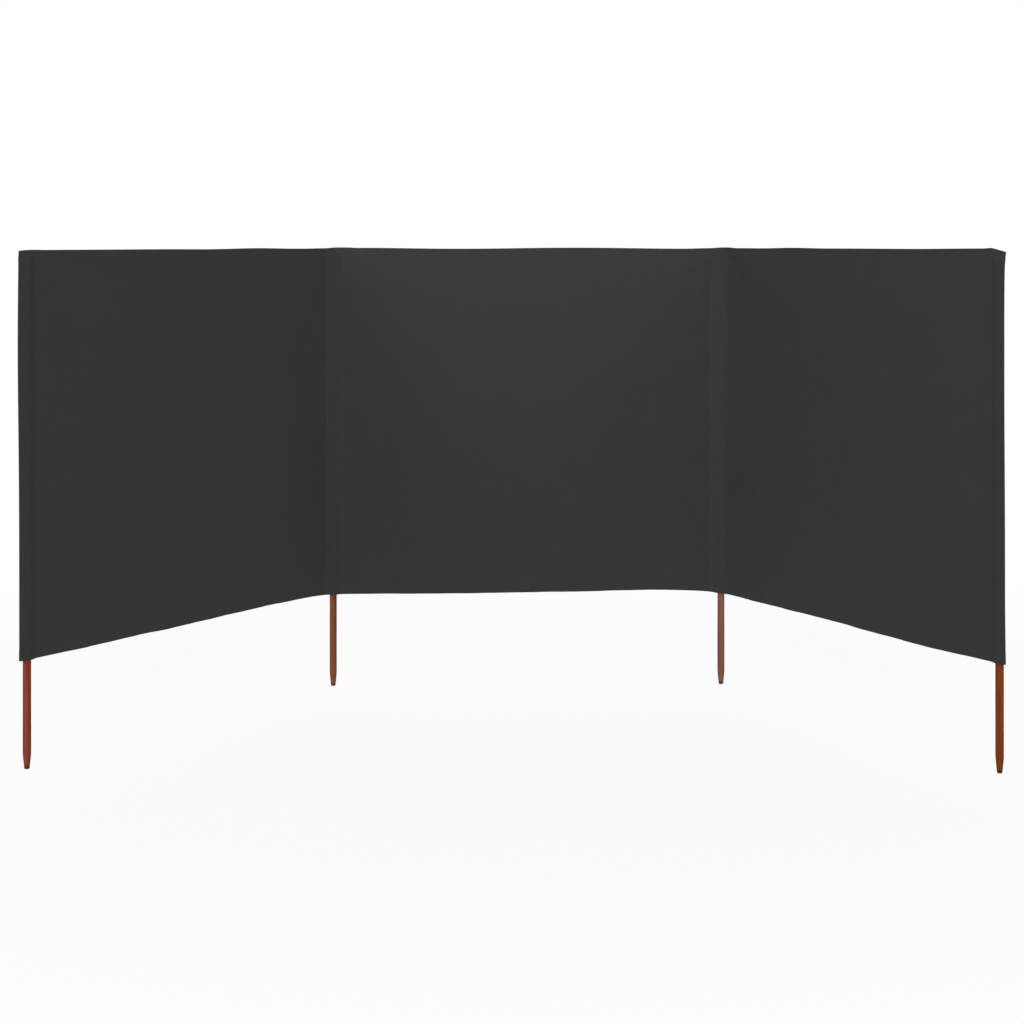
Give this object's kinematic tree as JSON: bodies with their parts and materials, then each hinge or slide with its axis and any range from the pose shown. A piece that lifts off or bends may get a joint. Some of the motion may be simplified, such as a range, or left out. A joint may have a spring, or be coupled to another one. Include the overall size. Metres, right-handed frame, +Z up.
{
  "type": "beach windbreak",
  "caption": "Beach windbreak: bays of plain cloth sleeved on round pointed wooden poles, the end bays swinging about the inner poles to shelter a place from the wind.",
  "frame": {"origin": "middle of the blunt foot of the left inner pole", "axes": "+X along the middle bay to the right inner pole, +Y away from the sheltered side, +Z up"},
  "size_m": [2.8298, 1.1949, 1.502],
  "materials": {
    "left_outer_pole_wood": "red-brown stain, matt",
    "left_inner_pole_wood": "brown stain, matt",
    "right_inner_pole_wood": "paler brown stain, matt",
    "right_outer_pole_wood": "orange-brown stain, matt",
    "cloth": "matt anthracite woven cloth",
    "hem": "matt anthracite woven cloth, folded and stitched",
    "thread": "dark grey sewing thread"
  },
  "bodies": {
    "middle_bay": {"left_inner_pole": "left_inner_pole_wood", "right_inner_pole": "right_inner_pole_wood", "left_inner_sleeve": "cloth", "right_inner_sleeve": "cloth", "left_inner_sleeve_top": "hem", "right_inner_sleeve_top": "hem", "middle_bay_cloth": "cloth", "middle_bay_top_hem": "hem", "middle_bay_bottom_hem": "hem"},
    "left_bay": {"left_outer_pole": "left_outer_pole_wood", "left_outer_sleeve": "cloth", "left_outer_sleeve_top": "hem", "left_bay_cloth": "cloth", "left_bay_top_hem": "hem", "left_bay_bottom_hem": "hem"},
    "right_bay": {"right_outer_pole": "right_outer_pole_wood", "right_outer_sleeve": "cloth", "right_outer_sleeve_top": "hem", "right_bay_cloth": "cloth", "right_bay_top_hem": "hem", "right_bay_bottom_hem": "hem"}
  },
  "joints": [
    {"name": "left_bay_swing", "type": "hinge", "parent": "middle_bay", "child": "left_bay", "pos_m": [0, 0, 0.9], "axis": [0, 0, 1], "range_deg": [-167.5, 62.5]},
    {"name": "right_bay_swing", "type": "hinge", "parent": "middle_bay", "child": "right_bay", "pos_m": [1.333, 0, 0.9], "axis": [0, 0, -1], "range_deg": [-175.5, 54.5]}
  ]
}
